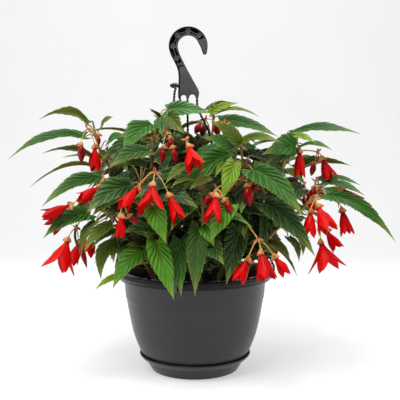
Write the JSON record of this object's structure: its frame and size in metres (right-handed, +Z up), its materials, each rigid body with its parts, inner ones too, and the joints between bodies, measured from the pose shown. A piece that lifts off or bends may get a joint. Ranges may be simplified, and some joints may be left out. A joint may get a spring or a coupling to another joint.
{
  "type": "flowering hanging basket",
  "caption": "Begonia in a grey hanging pot on its saucer: ribbed hook, thin strands to the rim, potting soil, leafy stems with toothed leaves and drooping red blooms",
  "frame": {"origin": "middle of the saucer's underside, on the surface it stands on", "axes": "+Z up, along the pot's axis; the picture's viewer looks along +Y; the hook's flat faces look along -Y and +Y"},
  "size_m": [0.5682, 0.4352, 0.5419],
  "materials": {
    "pot": "satin",
    "saucer": "satin",
    "hanger": "satin",
    "soil": "rough",
    "foliage": "satin",
    "flowers": "satin"
  },
  "bodies": {
    "root": {"pot": "pot", "saucer": "saucer", "hanger": "hanger", "fourth_strand": "hanger", "soil": "soil", "leafy_stem_a": "foliage", "leafy_stem_b": "foliage", "leafy_stem_c": "foliage", "leafy_stem_d": "foliage", "leafy_stem_e": "foliage", "leafy_stem_f": "foliage", "leafy_stem_g": "foliage", "leafy_stem_h": "foliage", "leafy_stem_i": "foliage", "leafy_stem_j": "foliage", "leafy_stem_k": "foliage", "leafy_stem_l": "foliage", "leafy_stem_m": "foliage", "leafy_stem_n": "foliage", "spray_01": "flowers", "spray_02": "flowers", "spray_03": "flowers", "spray_04": "flowers", "spray_05": "flowers", "spray_06": "flowers", "spray_07": "flowers", "spray_08": "flowers", "spray_09": "flowers", "spray_10": "flowers", "spray_11": "flowers", "spray_12": "flowers", "spray_13": "flowers", "spray_14": "flowers", "spray_15": "flowers", "spray_16": "flowers", "spray_17": "flowers", "spray_18": "flowers", "spray_19": "flowers", "spray_20": "flowers", "spray_21": "flowers", "spray_22": "flowers", "spray_23": "flowers", "spray_24": "flowers", "spray_25": "flowers", "spray_26": "flowers", "spray_27": "flowers", "spray_28": "flowers", "spray_29": "flowers", "spray_30": "flowers", "spray_31": "flowers"}
  },
  "joints": []
}
